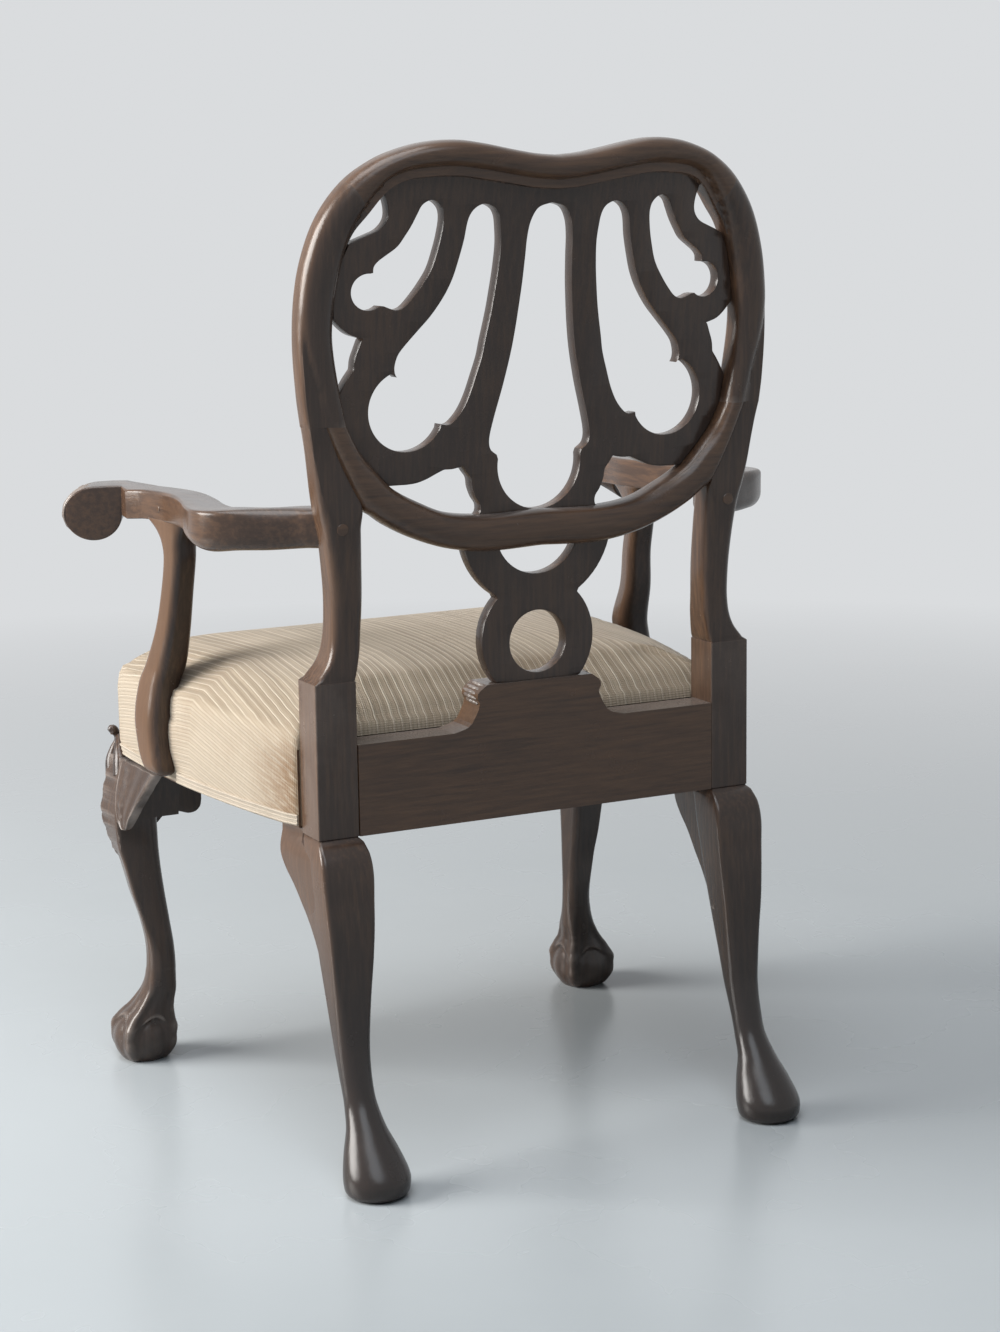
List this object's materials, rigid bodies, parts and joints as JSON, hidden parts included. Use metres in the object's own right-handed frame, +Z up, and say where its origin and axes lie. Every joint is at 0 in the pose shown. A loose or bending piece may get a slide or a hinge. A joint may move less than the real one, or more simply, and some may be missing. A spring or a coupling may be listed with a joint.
{
  "type": "carved open armchair",
  "caption": "Open armchair with a pierced shell-like splat in a rounded hoop back, scrolled arms, cabriole legs and a padded striped seat.",
  "frame": {"origin": "centre of the bounding box in plan, on the floor", "axes": "+Z up; the chair faces -Y; +X is the sitter's left"},
  "size_m": [0.6906, 0.5678, 0.9896],
  "materials": {
    "mahogany": "dark polished mahogany, worn lighter at the edges",
    "ribbed_cloth": "cream striped ribbed upholstery cloth",
    "braid": "matt cream gimp braid",
    "jute": "coarse jute webbing and hessian",
    "hair_stuffing": "curled hair stuffing",
    "dust_cloth": "black cotton dust cloth",
    "steel": "plain steel wood screw"
  },
  "bodies": {
    "root": {"arm_left": "mahogany", "arm_right": "mahogany", "arm_plug_left": "mahogany", "arm_plug_right": "mahogany", "arm_support_left": "mahogany", "arm_support_right": "mahogany", "corner_block_front_left": "mahogany", "corner_block_front_right": "mahogany", "corner_block_rear_left": "mahogany", "corner_block_rear_right": "mahogany", "crest_rail": "mahogany", "front_leg_left": "mahogany", "front_leg_right": "mahogany", "front_seat_rail": "mahogany", "hoop_rail": "mahogany", "knee_bracket_front_left": "mahogany", "knee_bracket_front_right": "mahogany", "knee_bracket_side_left": "mahogany", "knee_bracket_side_right": "mahogany", "rear_bracket_left": "mahogany", "rear_bracket_right": "mahogany", "rear_post_left": "mahogany", "rear_post_right": "mahogany", "rear_seat_rail": "mahogany", "side_seat_rail_left": "mahogany", "side_seat_rail_right": "mahogany", "splat": "mahogany", "seat_cover": "ribbed_cloth", "gimp_front": "braid", "gimp_left": "braid", "gimp_right": "braid", "hessian": "jute", "webbing_cross_1": "jute", "webbing_cross_2": "jute", "webbing_cross_3": "jute", "webbing_long_1": "jute", "webbing_long_2": "jute", "webbing_long_3": "jute", "webbing_long_4": "jute", "seat_stuffing": "hair_stuffing", "bottom_cloth": "dust_cloth", "arm_screw_left": "steel", "arm_screw_right": "steel", "support_screw_left": "steel", "support_screw_right": "steel"}
  },
  "joints": []
}
